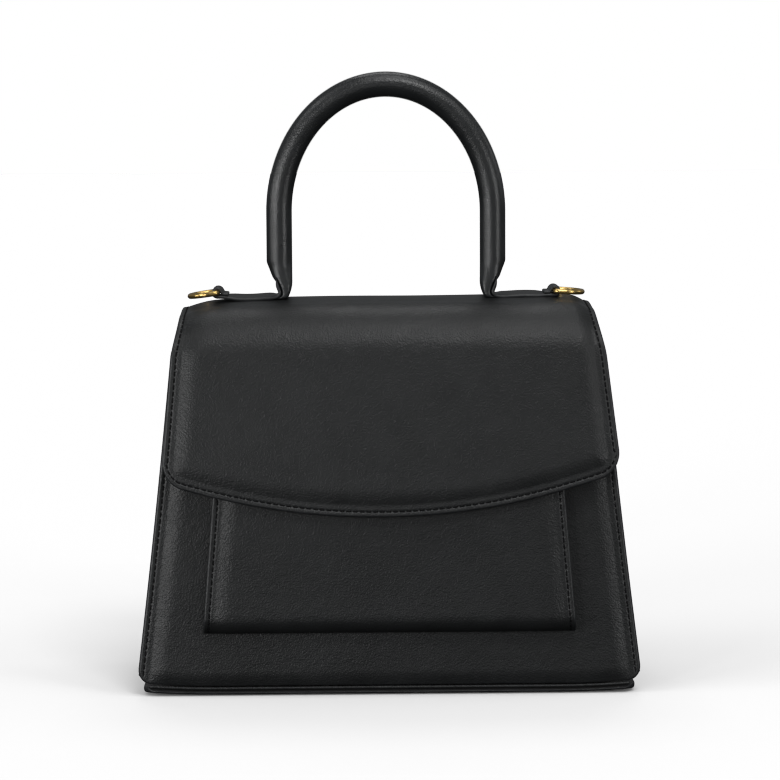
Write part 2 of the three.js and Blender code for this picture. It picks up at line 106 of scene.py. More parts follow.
# Flap
FLAP_THICKNESS = 2.0
FLAP_PAD = 1.5
FLAP_BORDER = 5.5
FLAP_SETBACK = 0.1
FLAP_TOP_TUCK = 1.6
FLAP_FRONT_ROLL = 24.0
FLAP_BACK_ROLL = 11.0
FLAP_LEAN = math.radians(10)
FLAP_TIP = 85.4
FLAP_SWEEP = 19.0
FLAP_CORNER_RADIUS = 10.0
FLAP_BACK_LENGTH = 15.0
FLAP_CROWN = 1.2
FLAP_LEVEL_WIDTH = 156.0
FLAP_SKEW = math.radians(1)
SNAP_HEIGHT = 100.0
SNAP_SPACE = 2.1

# Rolled handle and its two end tabs
HANDLE_SPAN = 102.0
HANDLE_SHOULDER = 41.2
HANDLE_RISE = 60.5
HANDLE_RADIUS = 6.0
FOOT_TAPER = 14.5
FOOT_THICKNESS = 6.4
FOOT_WIDTH = 15.0
FOOT_TUCK = 2.1
FOOT_TUCK_RISE = 8.0
TAB_THICKNESS = 1.4
TAB_WIDTH = 15.0
TAB_REACH = 29.5
TAB_RETURN = 5.2
TAB_BEND = 2.0
TAB_LEAF = 7.0
LEAF_SKIVE = 5.5
LOOP_START = math.radians(150)
LOOP_PLAY = 0.12

# D-rings
WIRE_RADIUS = 1.15
RING_DEPTH = 13.4
RING_SHANK = 4.0
RING_TILTS = {"left": math.radians(8), "right": math.radians(3.5)}

# Heights and levels that follow from the sizes
FLAP_LEVEL = BODY_HEIGHT - FLAP_CROWN - FLAP_PAD
PANEL_TOP = FLAP_LEVEL - FLAP_BACK_ROLL - MOUTH_ROOM
GUSSET_TOP = PANEL_TOP - GUSSET_DROP
TAB_LEVEL = BODY_HEIGHT + LEATHER_GAP + TAB_THICKNESS / 2
LOOP_RADIUS = WIRE_RADIUS + LEATHER_GAP + TAB_THICKNESS / 2
BAR_HEIGHT = TAB_LEVEL + LOOP_RADIUS
BAR_REACH = HANDLE_SPAN / 2 + TAB_REACH
FOLD_HEIGHT = TAB_LEVEL + TAB_BEND
FOOT_LEAN = math.atan((2 * HANDLE_RADIUS - FOOT_THICKNESS) / FOOT_TAPER)
PANEL_LEAN = math.atan((BASE_DEPTH - MOUTH_DEPTH) / 2 / (PANEL_TOP - SEAM_HEIGHT))
BASE_HALF_DEPTH = BASE_DEPTH / 2 - BASE_EDGE_INSET

# How the leather lies on the bag in the photograph
DROOP_LEFT = 3.0
DROOP_RIGHT = 2.5
DROOP_FROM_LEFT = 60.0
CROWN_LAID = 1.75
CROWN_SKEW = 0.35
TOP_TILT = math.radians(0.4)
STRAP_TILT = 0.085
STRAP_SAG = {"left": 0.6, "right": -0.5}

# Stitches, seams and rounded edges
STITCH_PITCH = 3.1
STITCH_LENGTH = 1.9
THREAD_RADIUS = 0.36
# The hole sizes are those of the flat near-black patches of painted shade that sit under each thread.
HOLE_SHADE_LENGTH = 2.4
HOLE_SHADE_WIDTH = 1.25
STITCH_INSET = 2.5
GROOVE_DEPTH = 0.28
GROOVE_WIDTH = 0.55
EDGE_BULGE = 0.4
EDGE_STEPS = 6
FINE_INSETS = [
    0, 0.2, 0.5, 1, 1.5, 1.85, 2.1, 2.5, 2.9, 3.15, 3.5, 4.2,
    5, 5.6, 6.3, 7.1, 7.9, 8.7, 9.5, 10.3, 11.1, 12,
]
GRID_STEP = 1.9


def ease(share):
    """Share of the way from 0 to 1, eased at both ends."""
    share = np.clip(share, 0.0, 1.0)
    return share * share * (3 - 2 * share)


def lerp(start, end, share):
    return start + (end - start) * share


def corner_rise(inset, radius):
    """How far a round corner lies inside a square one, at an inset from the side."""
    short = np.clip(radius - inset, 0.0, radius)
    return radius - np.sqrt(radius**2 - short**2)


def edge_distance(side, end, radius):
    """Distance from the outline, from the distances to two edges that meet in a round corner."""
    straight = np.minimum(side, end)
    round_ = radius - np.hypot(radius - side, radius - end)
    return np.where((side < radius) & (end < radius), round_, straight)


def crown(share):
    """A pad's edge: steep beside the border, level at its full height."""
    return np.sin(math.pi / 2 * np.clip(share, 0, 1))


def pad_share(distance, border):
    """Share of the full padding at some distance from an edge."""
    return crown((distance - border) / PAD_BEVEL)


def groove(distance, inset=STITCH_INSET):
    """Depth of the furrow that a row of stitches pulls into the leather."""
    return GROOVE_DEPTH * np.exp(-(((distance - inset) / GROOVE_WIDTH) ** 2))


def waves(along, across_, seed):
    """Low uneven swells of a hand-laid padded surface, about one at the highest."""
    first = np.sin(along / 17.0 + 1.3 * seed + 0.6 * np.sin(across_ / 23.0 + seed))
    second = np.sin(across_ / 14.0 - along / 31.0 + 2.1 * seed)
    third = np.sin((along + across_) / 9.5 + 0.7 * seed)
    return 0.5 * first + 0.35 * second + 0.15 * third


# Grids of lines

def lines_across(insets, middle):
    """The lines of a grid between two edges, each with its side, its inset and its share of the middle."""
    last = insets[-1]
    near = [(-1.0, inset, 0.0) for inset in insets]
    inner = [(0.0, last, share) for share in np.linspace(-1.0, 1.0, middle + 1)[1:-1]]
    far = [(1.0, inset, 0.0) for inset in reversed(insets)]
    return np.array(near + inner + far).T


def across(lines, half, cut=0.0):
    """Where the lines lie on both sides of a middle, with the edges cut back."""
    side, inset, share = lines
    last = inset.max()
    kept = cut + inset * (1 - cut / last)
    return side * (half - kept) + share * (half - last)


def between(lines, low, high, cut=0.0):
    """Where the lines lie between a low and a high edge, as rows of a grid."""
    rows = lines[:, :, None]
    return (low + high) / 2 + across(rows, (high - low) / 2, cut)


def middle_lines(length):
    return max(int((length - 2 * FINE_INSETS[-1]) / GRID_STEP), 2)


def boundary(grid):
    """The outer points of a grid in order."""
    return np.concatenate([grid[0, :-1], grid[:-1, -1], grid[-1, :0:-1], grid[:0:-1, 0]])


# Mesh making

def turned_out(points, faces):
    """The faces, turned over where they enclose a negative volume."""
    corners = points[np.array([face[:3] for face in faces])]
    volume = np.einsum("ij,ij->i", corners[:, 0], np.cross(corners[:, 1], corners[:, 2])).sum()
    rest = np.array([face[2:] + face[:1] for face in faces if len(face) == 4])
    if len(rest):
        corners = points[rest[:, :3]]
        volume += np.einsum("ij,ij->i", corners[:, 0], np.cross(corners[:, 1], corners[:, 2])).sum()
    return [face[::-1] for face in faces] if volume < 0 else faces


def make_object(name, points, faces, materials, finish=None, body="bag"):
    """A smooth piece from points in millimetres, riding on a body."""
    points = np.asarray(points, dtype=float)
    faces = turned_out(points, faces)
    placed = points * MM + np.array([0.0, MIDDLE_Y, 0.0])
    mesh = bpy.data.meshes.new(name)
    mesh.from_pydata(placed.tolist(), [], faces)
    for material in materials:
        mesh.materials.append(material)
    if finish is not None:
        mesh.polygons.foreach_set("material_index", finish)
    mesh.shade_smooth()
    mesh.update()
    piece = bpy.data.objects.new(name, mesh)
    bpy.context.scene.collection.objects.link(piece)
    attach(piece, body)
    return piece


def grid_faces(numbers):
    """Four-sided faces between the numbered points of a grid."""
    a, b = numbers[:-1, :-1], numbers[:-1, 1:]
    c, d = numbers[1:, 1:], numbers[1:, :-1]
    return np.stack([a, b, c, d], axis=-1).reshape(-1, 4).tolist()


def sheet_object(name, shape, thickness, materials):
    """A leather piece with a face, a back and a rounded edge, from one function of its surface."""
    bulge = EDGE_BULGE * thickness
    grids = [shape(bulge, 0.0, 1.0)]
    for step in range(1, EDGE_STEPS):
        angle = math.pi * step / EDGE_STEPS
        cut = bulge * (1 - math.sin(angle))
        grids.append(shape(cut, thickness * (1 - math.cos(angle)) / 2, 1.0))
    grids.append(shape(bulge, thickness, 0.0))
    face, back = grids[0], grids[-1]
    loops = [boundary(grid) for grid in grids[1:-1]]
    rows, columns = face.shape[:2]
    numbers = np.arange(rows * columns).reshape(rows, columns)
    points = [face.reshape(-1, 3), *loops, back.reshape(-1, 3)]
    starts = np.cumsum([0] + [len(part) for part in points])
    rings = [boundary(numbers)]
    rings += [start + np.arange(len(loops[0])) for start in starts[1:-2]]
    rings += [starts[-2] + boundary(numbers)]
    top = grid_faces(numbers)
    under = [quad[::-1] for quad in grid_faces(starts[-2] + numbers)]
    rim = []
    for first, second in zip(rings, rings[1:]):
        closed_first, closed_second = np.append(first, first[0]), np.append(second, second[0])
        rim += [quad[::-1] for quad in grid_faces(np.stack([closed_first, closed_second]))]
    finish = [0] * len(top) + [1] * len(rim) + [2] * len(under)
    return make_object(name, np.concatenate(points), top + rim + under, materials, finish)


def frames_along(path, up):
    """Unit tangents, sideways and upward directions along a path."""
    tangent = np.gradient(path, axis=0)
    tangent /= np.linalg.norm(tangent, axis=1, keepdims=True)
    sideways = np.cross(up, tangent)
    sideways /= np.linalg.norm(sideways, axis=1, keepdims=True)
    upward = np.cross(tangent, sideways)
    return tangent, sideways, upward


def rod_object(name, rings, materials, body="bag", loop=False):
    """A closed rod through rings of points, or an endless one."""
    rings = np.asarray(rings)
    count, sides = rings.shape[:2]
    numbers = np.arange(count * sides).reshape(count, sides)
    wrapped = np.hstack([numbers, numbers[:, :1]])
    if loop:
        wrapped = np.vstack([wrapped, wrapped[:1]])
        return make_object(name, rings.reshape(-1, 3), grid_faces(wrapped), materials, body=body)
    points = np.vstack([rings.reshape(-1, 3), rings[0].mean(axis=0), rings[-1].mean(axis=0)])
    faces = grid_faces(wrapped)
    first, last = count * sides, count * sides + 1
    for side in range(sides):
        after = (side + 1) % sides
        faces.append([first, int(numbers[0, after]), int(numbers[0, side])])
        faces.append([last, int(numbers[-1, side]), int(numbers[-1, after])])
    return make_object(name, points, faces, materials, body=body)


def arc_lengths(path):
    steps = np.linalg.norm(np.diff(path, axis=0), axis=1)
    return np.concatenate([[0.0], np.cumsum(steps)])


def at_lengths(path, lengths):
    """Points of a path at some distances along it."""
    along = arc_lengths(path)
    return np.stack([np.interp(lengths, along, path[:, axis]) for axis in range(path.shape[1])], axis=1)


# Stitches

def capsule(length, radius, height, sides=8, rings=5):
    """Points and faces of a small bead, long in X, its own height in Z."""
    points, faces = [], []
    stations = []
    for ring in range(rings):
        angle = math.pi / 2 * (1 - (ring + 0.35) / rings)
        stations.append((-(length / 2 - radius) - radius * math.sin(angle), math.cos(angle)))
    stations += [(-x, share) for x, share in reversed(stations)]
    for x, share in stations:
        for side in range(sides):
            angle = 2 * math.pi * side / sides
            points.append((x, radius * share * math.cos(angle), height * share * math.sin(angle)))
    numbers = np.arange(len(points)).reshape(len(stations), sides)
    faces += grid_faces(np.hstack([numbers, numbers[:, :1]]))
    faces.append(numbers[0].tolist())
    faces.append(numbers[-1][::-1].tolist())
    return np.array(points), faces


def spread(template, places, tangents, normals, rise=0.0):
    """Copies of a small shape, each laid along a tangent on a surface."""
    points, faces = template
    sideways = np.cross(normals, tangents)
    sideways /= np.linalg.norm(sideways, axis=1, keepdims=True)
    upward = np.cross(tangents, sideways)
    copies = (
        places[:, None, :]
        + points[None, :, 0, None] * tangents[:, None, :]
        + points[None, :, 1, None] * sideways[:, None, :]
        + (points[None, :, 2, None] + rise) * upward[:, None, :]
    )
    joined = []
    for copy in range(len(places)):
        start = copy * len(points)
        joined += [[start + corner for corner in face] for face in faces]
    return copies.reshape(-1, 3), joined


def stitch_object(name, rows, materials, pitch=STITCH_PITCH):
    """Threads, each laid over a flat near-black patch of painted shade for its needle hole, along rows of
    points and normals.
    """
    parts, finish = [], []
    share = pitch / STITCH_PITCH
    thread = capsule(STITCH_LENGTH * share, THREAD_RADIUS, THREAD_RADIUS * 0.8)
    hole_shade = capsule(HOLE_SHADE_LENGTH * share, HOLE_SHADE_WIDTH / 2, 0.09, sides=10, rings=3)
    for path, normal in rows:
        total = arc_lengths(path)[-1]
        count = max(int(total / pitch), 1)
        step = total / count
        data = np.hstack([path, normal])
        along = arc_lengths(path)
        lookup = lambda s: np.stack([np.interp(s, along, data[:, axis]) for axis in range(6)], axis=1)
        # Each thread is laid over a flat near-black bead, painted shade in place of the shadow in its
        # needle hole.
        for template, offsets, rise, number in (
            (thread, (np.arange(count) + 0.5) * step, 0.08, 0),
            (hole_shade, (np.arange(count) + 0.5) * step, 0.06, 1),
        ):
            middle = lookup(offsets)
            tangent = lookup(offsets + 0.3)[:, :3] - lookup(offsets - 0.3)[:, :3]
            tangent /= np.linalg.norm(tangent, axis=1, keepdims=True)
            up = middle[:, 3:] / np.linalg.norm(middle[:, 3:], axis=1, keepdims=True)
            parts.append(spread(template, middle[:, :3], tangent, up, rise))
            finish += [number] * len(parts[-1][1])
    starts = np.cumsum([0] + [len(points) for points, _ in parts])
    points = np.concatenate([part for part, _ in parts])
    faces = [
        [int(start) + corner for corner in face]
        for start, (_, part_faces) in zip(starts, parts)
        for face in part_faces
    ]
    return make_object(name, points, faces, materials, finish)


# Materials

def principled(name):
    material = bpy.data.materials.new(name)
    material.use_nodes = True
    tree = material.node_tree
    shader = tree.nodes["Principled BSDF"]
    place = tree.nodes.new("ShaderNodeTexCoord")
    return material, tree, shader, place.outputs["Object"]


def noise(tree, place, scale, detail=3.0, roughness=0.55):
    node = tree.nodes.new("ShaderNodeTexNoise")
    node.inputs["Scale"].default_value = scale
    node.inputs["Detail"].default_value = detail
    node.inputs["Roughness"].default_value = roughness
    tree.links.new(place, node.inputs["Vector"])
    return node.outputs["Fac"]


def cells(tree, place, scale, feature="SMOOTH_F1"):
    node = tree.nodes.new("ShaderNodeTexVoronoi")
    node.feature = feature
    node.inputs["Scale"].default_value = scale
    tree.links.new(place, node.inputs["Vector"])
    return node.outputs["Distance"]


def ramp(tree, fac, low, high, start=0.3, stop=0.7):
    """A colour between two, by where a texture's value lies."""
    node = tree.nodes.new("ShaderNodeValToRGB")
    first, last = node.color_ramp.elements
    first.position, last.position = start, stop
    first.color, last.color = (*low, 1.0), (*high, 1.0)
    tree.links.new(fac, node.inputs["Fac"])
    return node.outputs["Color"]


def mapped(tree, fac, low, high, start=0.3, stop=0.7):
    node = tree.nodes.new("ShaderNodeMapRange")
    node.inputs["From Min"].default_value = start
    node.inputs["From Max"].default_value = stop
    node.inputs["To Min"].default_value = low
    node.inputs["To Max"].default_value = high
    tree.links.new(fac, node.inputs["Value"])
    return node.outputs["Result"]


def bump(tree, height, distance, strength=1.0, under=None):
    node = tree.nodes.new("ShaderNodeBump")
    node.inputs["Distance"].default_value = distance
    node.inputs["Strength"].default_value = strength
    tree.links.new(height, node.inputs["Height"])
    if under is not None:
        tree.links.new(under, node.inputs["Normal"])
    return node.outputs["Normal"]


def leather_material(name, low, high, rough, grain, specular=0.36):
    """Smooth calf leather: a fine pebbled grain, faint creases and slightly uneven gloss."""
    material, tree, shader, place = principled(name)
    patches = noise(tree, place, 42.0, 4.0)
    tree.links.new(ramp(tree, patches, low, high), shader.inputs["Base Color"])
    gloss = noise(tree, place, 95.0, 5.0, 0.6)
    tree.links.new(mapped(tree, gloss, rough - 0.05, rough + 0.06), shader.inputs["Roughness"])
    shader.inputs["Specular IOR Level"].default_value = specular
    swell = bump(tree, noise(tree, place, 230.0, 3.0), 0.00016 * grain, 0.6)
    pebble = bump(tree, cells(tree, place, 1500.0), 0.00011 * grain, 0.8, swell)
    pores = bump(tree, noise(tree, place, 5200.0, 2.0), 0.00003 * grain, 0.6, pebble)
    tree.links.new(pores, shader.inputs["Normal"])
    return material


def edge_material():
    """Painted and burnished edge, a little worn where the paint has thinned."""
    material, tree, shader, place = principled("edge_paint")
    patches = noise(tree, place, 160.0, 4.0)
    tint = ramp(tree, patches, (0.014, 0.015, 0.016), (0.032, 0.033, 0.035))
    tree.links.new(tint, shader.inputs["Base Color"])
    tree.links.new(mapped(tree, noise(tree, place, 300.0), 0.28, 0.42), shader.inputs["Roughness"])
    shader.inputs["Specular IOR Level"].default_value = 0.5
    tree.links.new(bump(tree, noise(tree, place, 700.0), 0.00008, 0.5), shader.inputs["Normal"])
    return material


def lining_material():
    """Microfibre backing: a soft matt nap."""
    material, tree, shader, place = principled("lining")
    patches = noise(tree, place, 600.0, 4.0)
    tint = ramp(tree, patches, (0.007, 0.007, 0.008), (0.014, 0.014, 0.015))
    tree.links.new(tint, shader.inputs["Base Color"])
    shader.inputs["Roughness"].default_value = 0.85
    shader.inputs["Specular IOR Level"].default_value = 0.2
    shader.inputs["Sheen Weight"].default_value = 0.15
    tree.links.new(bump(tree, noise(tree, place, 3000.0), 0.00008, 0.6), shader.inputs["Normal"])
    return material


def thread_material():
    """Waxed black polyester thread with its twist."""
    material, tree, shader, place = principled("thread")
    twist = tree.nodes.new("ShaderNodeTexWave")
    twist.bands_direction = "DIAGONAL"
    twist.inputs["Scale"].default_value = 900.0
    tree.links.new(place, twist.inputs["Vector"])
    tree.links.new(ramp(tree, twist.outputs["Fac"], (0.003, 0.003, 0.0035), (0.009, 0.009, 0.010)),
                   shader.inputs["Base Color"])
    shader.inputs["Roughness"].default_value = 0.75
    shader.inputs["Specular IOR Level"].default_value = 0.15
    tree.links.new(bump(tree, twist.outputs["Fac"], 0.00006, 0.7), shader.inputs["Normal"])
    return material


def painted_hole_shade_material():
    """Painted shade: flat near-black patches that stand in for the shadow inside the needle holes and the
    pits that the stitches pull into the leather.
    """
    material, tree, shader, place = principled("needle_hole_painted_shade")
    tree.links.new(ramp(tree, noise(tree, place, 2500.0), (0.0015, 0.0015, 0.0015), (0.004, 0.004, 0.004)),
                   shader.inputs["Base Color"])
    shader.inputs["Roughness"].default_value = 0.95
    shader.inputs["Specular IOR Level"].default_value = 0.05
    return material


def metal_material(name, low, high, rough, scratches):
    """Polished metal with hairline wear."""
    material, tree, shader, place = principled(name)
    shader.inputs["Metallic"].default_value = 1.0
    tree.links.new(ramp(tree, noise(tree, place, 260.0, 3.0), low, high), shader.inputs["Base Color"])
    wear = mapped(tree, noise(tree, place, 900.0, 5.0), rough * 0.8, rough * 1.3)
    tree.links.new(wear, shader.inputs["Roughness"])
    tree.links.new(bump(tree, noise(tree, place, scratches, 4.0), 0.00002, 0.35), shader.inputs["Normal"])
    return material


LEATHER = leather_material("leather", (0.0115, 0.0122, 0.0126), (0.0160, 0.0170, 0.0176), 0.38, 1.8, 0.5)
HANDLE_LEATHER = leather_material(
    "handle_leather", (0.0095, 0.0108, 0.0116), (0.0145, 0.0160, 0.0170), 0.31, 1.2, 0.75
)
EDGE = edge_material()
LINING = lining_material()
THREAD = thread_material()
# Painted shade for the needle holes: a near-black matt material on the flat patches under the threads.
HOLE_PAINTED_SHADE = painted_hole_shade_material()
GOLD = metal_material("gold", (0.86, 0.56, 0.17), (0.96, 0.68, 0.26), 0.16, 1400.0)
STEEL = metal_material("steel", (0.50, 0.50, 0.49), (0.62, 0.62, 0.60), 0.3, 2400.0)
SKIN = [LEATHER, EDGE, LINING]


# Body

def body_share(z):
    return (z - SEAM_HEIGHT) / (PANEL_TOP - SEAM_HEIGHT)


def panel_half_width(z):
    share = body_share(z)
    waist = PANEL_WAIST * np.sin(math.pi * np.clip(share, 0.0, 1.0))
    return lerp(BASE_WIDTH, MOUTH_WIDTH, share) / 2 - waist


def panel_reach(z):
    """From the middle plane to the outer face of the front or back panel."""
    return lerp(BASE_DEPTH, MOUTH_DEPTH, body_share(z)) / 2


def end_rise(x):
    """Rise of the lower seam where the base turns up towards its ends."""
    past = np.maximum(np.abs(x) - LEVEL_LENGTH / 2, 0)
    return END_LIFT * (past / ((BASE_WIDTH - LEVEL_LENGTH) / 2)) ** 2


def panel_low(x, cut=0.0):
    inset = BASE_WIDTH / 2 - cut - np.abs(x)
    return SEAM_HEIGHT + end_rise(x) + corner_rise(inset, PANEL_CORNER_RADIUS - cut)


def panel_high(x, cut=0.0):
    inset = MOUTH_WIDTH / 2 - cut - np.abs(x)
    return PANEL_TOP - corner_rise(inset, MOUTH_CORNER_RADIUS - cut)


def panel_shape(side, top_border):
    columns = lines_across(FINE_INSETS, middle_lines(BASE_WIDTH))
    rows = lines_across(FINE_INSETS, middle_lines(PANEL_TOP))

    def shape(cut, depth, padded):
        low = panel_low(across(columns, BASE_WIDTH / 2, cut), cut)
        high = panel_high(across(columns, MOUTH_WIDTH / 2, cut), cut)
        z = between(rows, low, high, cut)
        half = panel_half_width(z)
        x = across(columns, half, cut)
        inset = half - np.abs(x)
        share = pad_share(inset, PANEL_BORDER) * pad_share(z - low, 0)
        share = share * pad_share(PANEL_TOP - z, top_border)
        rise = padded * share * (PANEL_PAD + 0.18 * waves(x, z, 1.0 + side))
        rise = rise - padded * groove(inset) * ease((z - low) / 3)
        return np.stack([x, side * (panel_reach(z) + rise - depth), z], axis=-1)

    return shape


def panel_stitches(side, bottom, top):
    """Rows of stitches down both side edges of a panel."""
    rows = []
    for end in (-1, 1):
        z = np.linspace(bottom, top, 120)
        x = end * (panel_half_width(z) - STITCH_INSET)
        y = side * (panel_reach(z) - GROOVE_DEPTH)
        normal = np.tile([0.0, side * math.cos(PANEL_LEAN), math.sin(PANEL_LEAN)], (len(z), 1))
        rows.append((np.stack([x, y, z], axis=1), normal))
    return rows


def base_under(x, y):
    """Underside of the base: level in the middle, turned up at the ends and round the edges."""
    past = np.maximum(np.abs(y) - LEVEL_DEPTH / 2, 0)
    return end_rise(x) + BASE_EDGE_LIFT * (past / (BASE_HALF_DEPTH - LEVEL_DEPTH / 2)) ** 2


def base_upper(x, y):
    skived = ease((np.abs(y) - (BASE_HALF_DEPTH - SKIVE_WIDTH)) / SKIVE_WIDTH)
    return base_under(x, y) + lerp(BASE_THICKNESS, BASE_EDGE_THICKNESS, skived)


def base_shape():
    columns = lines_across(FINE_INSETS, middle_lines(BASE_WIDTH))
    rows = lines_across(FINE_INSETS, middle_lines(BASE_DEPTH))

    def shape(cut, depth, padded):
        y = across(rows[:, :, None], BASE_HALF_DEPTH, cut)
        inset = BASE_HALF_DEPTH - cut - np.abs(y)
        end = BASE_WIDTH / 2 - BASE_END_INSET - corner_rise(inset, BASE_CORNER_RADIUS - cut)
        x = across(columns, end, cut)
        y = np.broadcast_to(y, x.shape)
        z = lerp(base_under(x, y), base_upper(x, y), depth / BASE_EDGE_THICKNESS)
        return np.stack([x, y, z], axis=-1)

    return shape


def welt_object(name, side):
    """Piping in the seam between a panel and the base."""
    x = np.linspace(-(BASE_WIDTH / 2 - WELT_END_INSET), BASE_WIDTH / 2 - WELT_END_INSET, 240)
    edge = np.stack([x, np.zeros_like(x), panel_low(x)], axis=1)
    even = at_lengths(edge, np.linspace(0, arc_lengths(edge)[-1], 200))
    tangent, _, _ = frames_along(even, np.array([0.0, 1.0, 0.0]))
    down = np.stack([tangent[:, 2], np.zeros(len(even)), -tangent[:, 0]], axis=1)
    path = even + down * (LEATHER_GAP + WELT_RADIUS)
    path[:, 1] = side * (BASE_DEPTH / 2 - WELT_RADIUS)
    rings = round_rings(path, np.array([0.0, 1.0, 0.0]), np.full(len(path), WELT_RADIUS), 14)
    piece = rod_object(f"{name}_piping", rings, [LEATHER])
    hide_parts(name)


def round_rings(path, up, radius, sides):
    """Circles round a path, one at each of its points."""
    _, sideways, upward = frames_along(path, up)
    angle = 2 * math.pi * np.arange(sides) / sides
    reach = radius[:, None, None]
    return path[:, None, :] + reach * (
        np.cos(angle)[None, :, None] * sideways[:, None, :]
        + np.sin(angle)[None, :, None] * upward[:, None, :]
    )


def folded_section(rim, wall, deep, start, stop, bend, counts):
    """Middle line of a folded strip at each height: two flanges and a wall folded in between them."""
    flange, turn, fold = counts
    run = np.linspace(0, 1, flange, endpoint=False)
    quarter = np.linspace(0, math.pi / 2, turn, endpoint=False)
    way = np.linspace(0, 1, fold)
    middle = (start + stop) / 2
    first_x = [lerp(rim, wall + bend, share) for share in run]
    first_y = [start + 0 * rim for _ in run]
    first_x += [wall + bend - bend * math.sin(angle) for angle in quarter]
    first_y += [start + bend - bend * math.cos(angle) for angle in quarter]
    x, y = list(first_x), list(first_y)
    for share in way:
        rounded = math.hypot(2 * share - 1, 0.06)
        depth = np.clip(1.0 - rounded, 0, 1) ** 1.35
        x.append(lerp(wall, deep, depth))
        y.append(lerp(start + bend, stop - bend, share))
    x += list(reversed(first_x))
    y += [2 * middle - value for value in reversed(first_y)]
    return np.stack(x, axis=-1), np.stack(y, axis=-1)


def gusset_shape(side, edge, near, far, low, high, inset, bend, fold, thickness, middle):
    rows = lines_across(FINE_INSETS, middle)

    def section(z, cut, offset):
        rim = edge(z) - LEATHER_GAP - cut
        wall = edge(z) - inset
        start = near(z) + thickness / 2
        stop = far(z) - thickness / 2
        x, y = folded_section(rim, wall, wall - fold(z), start, stop, bend, (10, 8, 41))
        dx, dy = np.gradient(x, axis=-1), np.gradient(y, axis=-1)
        size = np.hypot(dx, dy)
        return x + offset * dy / size, y - offset * dx / size

    def own_section(z, cut, offset):
        """The section's own point in each column, at that column's own height."""
        columns = z.shape[1]
        x, y = section(z.reshape(-1), cut, offset)
        x, y = x.reshape(*z.shape, -1), y.reshape(*z.shape, -1)
        pick = np.arange(columns)
        return x[:, pick, pick], y[:, pick, pick]

    def shape(cut, depth, padded):
        offset = thickness / 2 - depth
        start = np.linspace(low(0.0, 0.0), high(0.0, 0.0), rows.shape[1])
        x, y = section(start, cut, offset)
        for _ in range(2):
            z = between(rows, low(x, y), high(x, y), cut)
            x, y = own_section(z, cut, offset)
        return np.stack([side * x, y, z], axis=-1)

    return shape


def side_gusset_shape(side):
    inner = lambda z: panel_reach(z) - PANEL_THICKNESS - LEATHER_GAP
    top_reach = float(inner(GUSSET_TOP))

    def low(x, y):
        return np.maximum(base_upper(x, y), panel_low(x)) + LEATHER_GAP

    def high(x, y):
        dip = GUSSET_DIP * ease(1 - np.abs(y) / top_reach)
        return np.minimum(GUSSET_TOP - dip, panel_high(x) - LEATHER_GAP)

    return gusset_shape(
        side=side,
        edge=panel_half_width,
        near=lambda z: -inner(z),
        far=inner,
        low=low,
        high=high,
        inset=GUSSET_INSET,
        bend=GUSSET_BEND,
        fold=lambda z: lerp(GUSSET_FOLD_BASE, GUSSET_FOLD_TOP, ease(body_share(z))),
        thickness=GUSSET_THICKNESS,
        middle=middle_lines(GUSSET_TOP),
    )


def make_body():
    front = sheet_object("front_panel_leather", panel_shape(-1, PANEL_BORDER), PANEL_THICKNESS, SKIN)
    back_shape = panel_shape(1, FLAP_BACK_LENGTH + PANEL_BORDER)
    back = sheet_object("back_panel_leather", back_shape, PANEL_THICKNESS, SKIN)
    for piece, node in ((front, "front_panel"), (back, "back_panel")):
        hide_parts(node)
    bottom = SEAM_HEIGHT + END_LIFT + PANEL_CORNER_RADIUS * 0.45
    stitch_object("front_panel_stitches", panel_stitches(-1, bottom, PANEL_TOP - 6), [THREAD, HOLE_PAINTED_SHADE])
    back_rows = panel_stitches(1, bottom, PANEL_TOP - FLAP_BACK_LENGTH)
    stitch_object("back_panel_stitches", back_rows, [THREAD, HOLE_PAINTED_SHADE])
    base = sheet_object("base_leather", base_shape(), BASE_EDGE_THICKNESS, [LEATHER, EDGE, LINING])
    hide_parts("base_panel")
    welt_object("welt_front", -1)
    welt_object("welt_back", 1)
    for name, side in (("left", -1), ("right", 1)):
        gusset = sheet_object(f"gusset_{name}_leather", side_gusset_shape(side), GUSSET_THICKNESS, SKIN)
        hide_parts(f"gusset_{name}")


# Front pocket

def pocket_half_width(z):
    return lerp(POCKET_BOTTOM_WIDTH, POCKET_TOP_WIDTH, (z - POCKET_BOTTOM) / POCKET_HEIGHT) / 2


def pocket_ground(z):
    """From the middle plane to the padded face of the front panel, behind the pocket."""
    return panel_reach(z) + PANEL_PAD + LEATHER_GAP


def pocket_profile():
    """How far the pocket's outer face stands off, by its height, from its foot to its top edge."""
    stand, height = POCKET_STAND - LEATHER_GAP, POCKET_CURL
    turn = np.linspace(0, math.pi / 2, 60)
    curl = np.stack([stand * np.sin(turn), POCKET_BOTTOM + height - height * np.cos(turn),
                     np.sin(turn) / stand, -np.cos(turn) / height], axis=1)
    rise = np.linspace(0, POCKET_HEIGHT - POCKET_CURL, 40)[1:]
    straight = np.stack(
        [stand + 0 * rise, POCKET_BOTTOM + POCKET_CURL + rise, 1 + 0 * rise, 0 * rise], axis=1
    )
    table = np.concatenate([curl, straight])
    table[:, 2:] /= np.linalg.norm(table[:, 2:], axis=1, keepdims=True)
    return arc_lengths(table[:, :2]), table


def look_up(table, lengths):
    along, columns = table
    return [np.interp(lengths, along, columns[:, i]) for i in range(columns.shape[1])]


POCKET_PROFILE = pocket_profile()


def pocket_point(x_of_half, along, lift):
    """A point on the pocket's face, some way along its profile and off its surface."""
    stand, z, out, up = look_up(POCKET_PROFILE, along)
    x, rise = lift(x_of_half(pocket_half_width(z)), pocket_half_width(z), out)
    return np.stack([x, -(pocket_ground(z) + stand + rise * out), z + rise * up], axis=-1)


